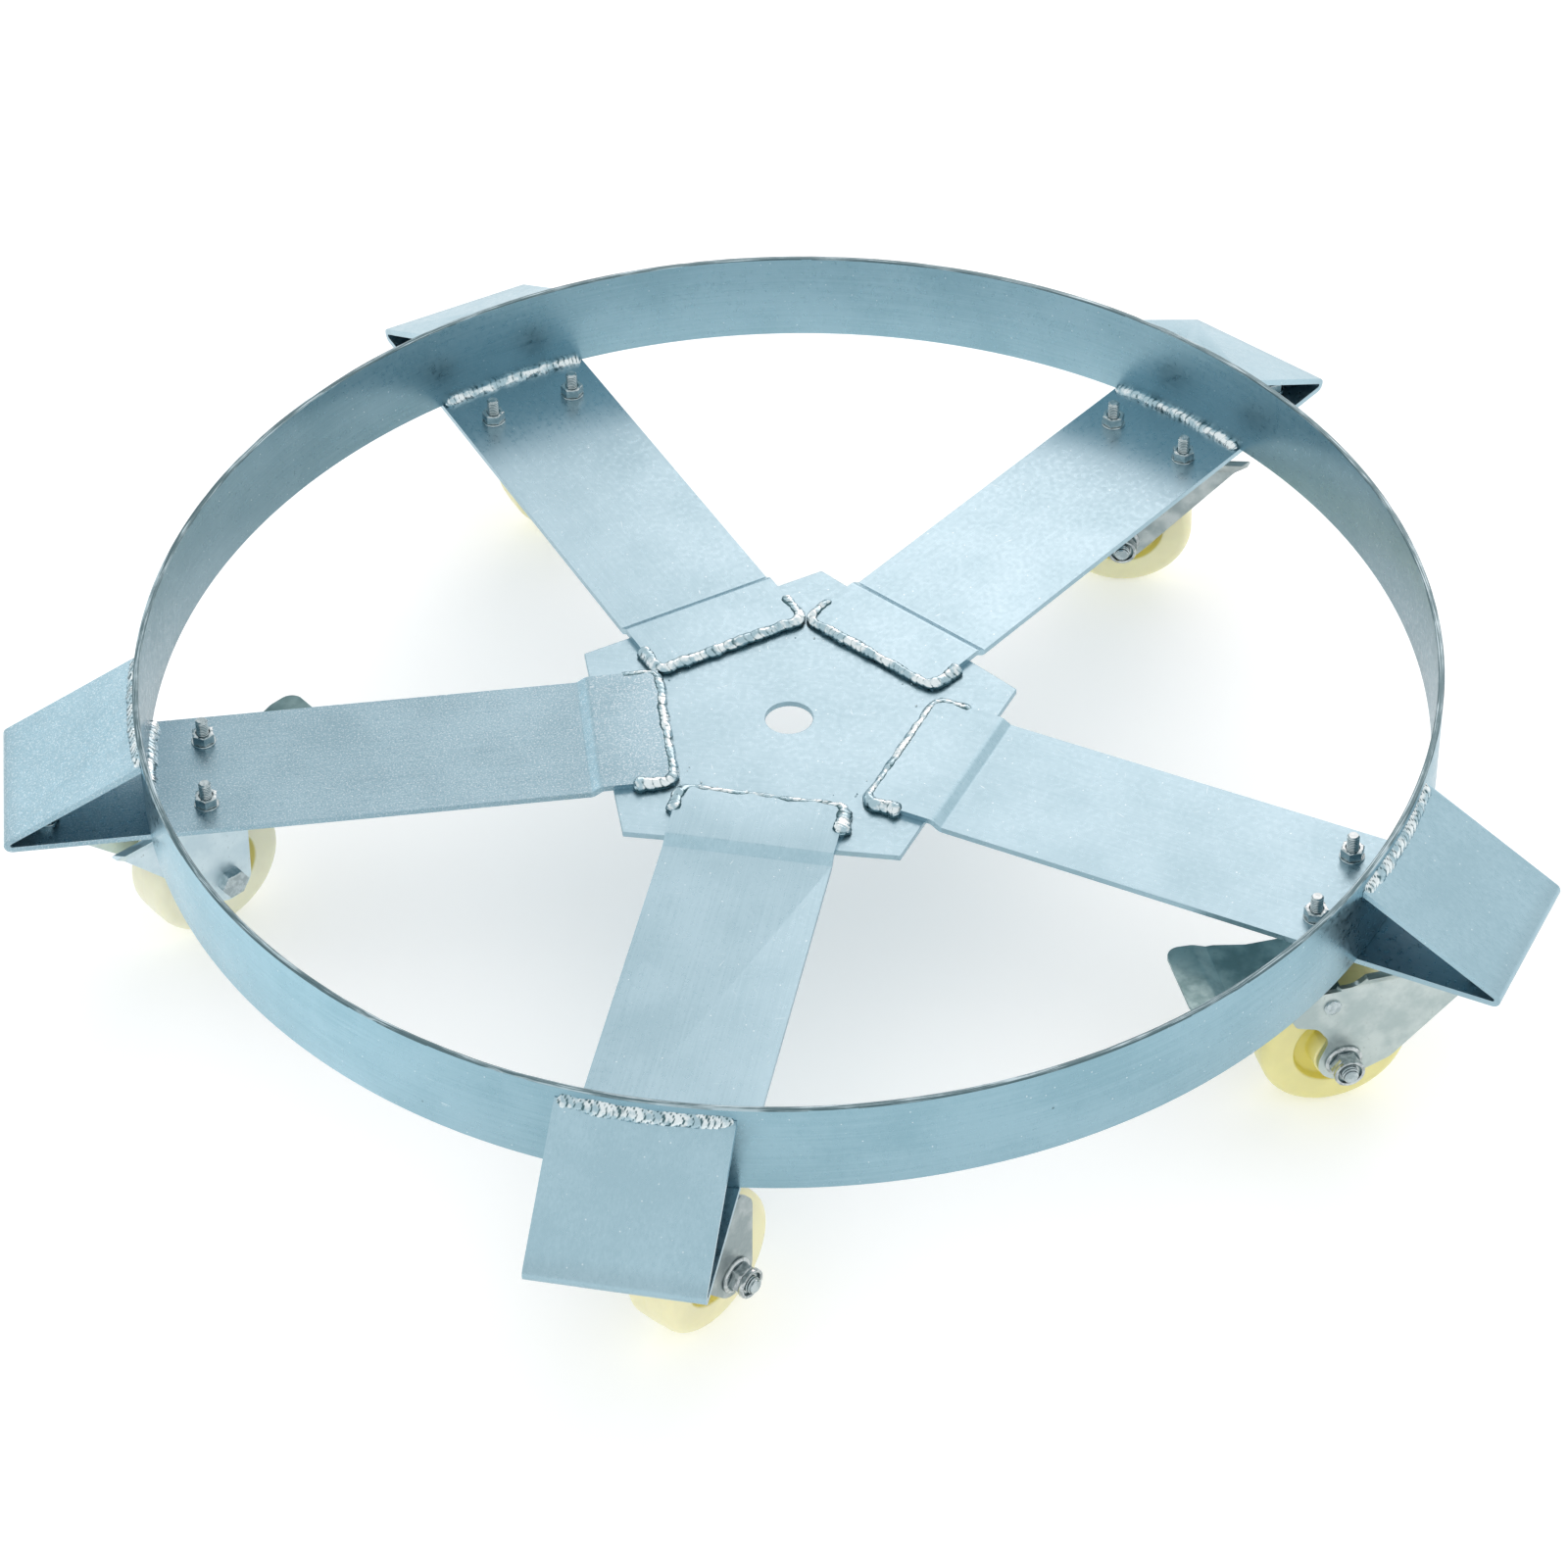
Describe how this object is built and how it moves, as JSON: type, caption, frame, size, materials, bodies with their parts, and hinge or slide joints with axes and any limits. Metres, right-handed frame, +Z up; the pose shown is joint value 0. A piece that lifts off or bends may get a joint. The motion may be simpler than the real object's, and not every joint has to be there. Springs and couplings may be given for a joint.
{
  "type": "drum dolly",
  "caption": "Open round dolly for a steel drum: a rolled rim on flat-bar arms joined by a hub plate, with nylon swivel casters, some of them braked.",
  "frame": {"origin": "centre of the hub plate's hole, level with the top faces of the hub plate and arms that the drum stands on", "axes": "+Z up, out of the hub plate's hole; +Y through the back corner of the hub plate, +X to the right of someone who faces +Y. The front arm points along -Y, to within 3.1 degrees"},
  "size_m": [0.7386, 0.711, 0.153],
  "materials": {
    "zinc_plate": "bright blue-tinted zinc plating on rolled flat bar, satin, with fine scratches",
    "weld_metal": "rippled weld bead under zinc plating, bright on the ripples, dark in the creases",
    "caster_steel": "pressed sheet steel, grey zinc plating, satin",
    "bright_fastener": "bright zinc plating, glossy",
    "ivory_nylon": "natural cast nylon, cream yellow, semi-gloss, slightly translucent"
  },
  "bodies": {
    "frame": {"hub_plate": "zinc_plate", "ring": "zinc_plate", "front_arm": "zinc_plate", "right_arm": "zinc_plate", "back_right_arm": "zinc_plate", "back_left_arm": "zinc_plate", "left_arm": "zinc_plate", "hub_welds": "weld_metal", "ring_welds": "weld_metal", "flap_welds": "weld_metal", "inner_mounting_bolts": "bright_fastener", "outer_mounting_bolts": "bright_fastener", "mounting_nuts": "bright_fastener", "mounting_washers": "bright_fastener", "front_caster_plate": "caster_steel", "front_kingpin": "bright_fastener", "right_caster_plate": "caster_steel", "right_kingpin": "bright_fastener", "back_right_caster_plate": "caster_steel", "back_right_kingpin": "bright_fastener", "back_left_caster_plate": "caster_steel", "back_left_kingpin": "bright_fastener", "left_caster_plate": "caster_steel", "left_kingpin": "bright_fastener"},
    "front_swivel": {"front_fork": "caster_steel", "front_race_balls": "bright_fastener", "front_axle_sleeve": "bright_fastener", "front_axle_bolt": "bright_fastener", "front_axle_nut": "bright_fastener"},
    "front_roller": {"front_wheel": "ivory_nylon"},
    "right_swivel": {"right_fork": "caster_steel", "right_race_balls": "bright_fastener", "right_axle_sleeve": "bright_fastener", "right_axle_bolt": "bright_fastener", "right_axle_nut": "bright_fastener", "right_pedal_rivets": "bright_fastener"},
    "right_roller": {"right_wheel": "ivory_nylon"},
    "right_brake": {"right_brake_pedal": "caster_steel", "right_brake_shoe": "caster_steel"},
    "back_right_swivel": {"back_right_fork": "caster_steel", "back_right_race_balls": "bright_fastener", "back_right_axle_sleeve": "bright_fastener", "back_right_axle_bolt": "bright_fastener", "back_right_axle_nut": "bright_fastener"},
    "back_right_roller": {"back_right_wheel": "ivory_nylon"},
    "back_left_swivel": {"back_left_fork": "caster_steel", "back_left_race_balls": "bright_fastener", "back_left_axle_sleeve": "bright_fastener", "back_left_axle_bolt": "bright_fastener", "back_left_axle_nut": "bright_fastener"},
    "back_left_roller": {"back_left_wheel": "ivory_nylon"},
    "left_swivel": {"left_fork": "caster_steel", "left_race_balls": "bright_fastener", "left_axle_sleeve": "bright_fastener", "left_axle_bolt": "bright_fastener", "left_axle_nut": "bright_fastener", "left_pedal_rivets": "bright_fastener"},
    "left_roller": {"left_wheel": "ivory_nylon"},
    "left_brake": {"left_brake_pedal": "caster_steel", "left_brake_shoe": "caster_steel"}
  },
  "joints": [
    {"name": "front_caster_swivel", "type": "hinge", "parent": "frame", "child": "front_swivel", "pos_m": [-0.01682, -0.31055, -0.0075], "axis": [0, 0, 1], "continuous": true},
    {"name": "front_wheel_spin", "type": "hinge", "parent": "front_swivel", "child": "front_roller", "pos_m": [-0.00104, -0.28386, -0.069], "axis": [-0.8607, 0.509, 0], "continuous": true},
    {"name": "right_caster_swivel", "type": "hinge", "parent": "frame", "child": "right_swivel", "pos_m": [0.29611, -0.09507, -0.0075], "axis": [0, 0, 1], "continuous": true},
    {"name": "right_wheel_spin", "type": "hinge", "parent": "right_swivel", "child": "right_roller", "pos_m": [0.26749, -0.10698, -0.069], "axis": [0.3843, -0.9232, 0], "continuous": true},
    {"name": "right_pedal_tilt", "type": "hinge", "parent": "right_swivel", "child": "right_brake", "pos_m": [0.26075, -0.10979, -0.033], "axis": [0.3843, -0.9232, 0], "range_deg": [0, 11]},
    {"name": "back_right_caster_swivel", "type": "hinge", "parent": "frame", "child": "back_right_swivel", "pos_m": [0.16801, 0.26171, -0.0075], "axis": [0, 0, 1], "continuous": true},
    {"name": "back_right_wheel_spin", "type": "hinge", "parent": "back_right_swivel", "child": "back_right_roller", "pos_m": [0.13712, 0.25917, -0.069], "axis": [0.0819, -0.9966, 0], "continuous": true},
    {"name": "back_left_caster_swivel", "type": "hinge", "parent": "frame", "child": "back_left_swivel", "pos_m": [-0.18543, 0.24968, -0.0075], "axis": [0, 0, 1], "continuous": true},
    {"name": "back_left_wheel_spin", "type": "hinge", "parent": "back_left_swivel", "child": "back_left_roller", "pos_m": [-0.16035, 0.2679, -0.069], "axis": [-0.5878, 0.809, 0], "continuous": true},
    {"name": "left_caster_swivel", "type": "hinge", "parent": "frame", "child": "left_swivel", "pos_m": [-0.29998, -0.08206, -0.0075], "axis": [0, 0, 1], "continuous": true},
    {"name": "left_wheel_spin", "type": "hinge", "parent": "left_swivel", "child": "left_roller", "pos_m": [-0.27948, -0.05881, -0.069], "axis": [-0.7501, 0.6613, 0], "continuous": true},
    {"name": "left_pedal_tilt", "type": "hinge", "parent": "left_swivel", "child": "left_brake", "pos_m": [-0.27465, -0.05334, -0.033], "axis": [-0.7501, 0.6613, 0], "range_deg": [0, 11]}
  ]
}
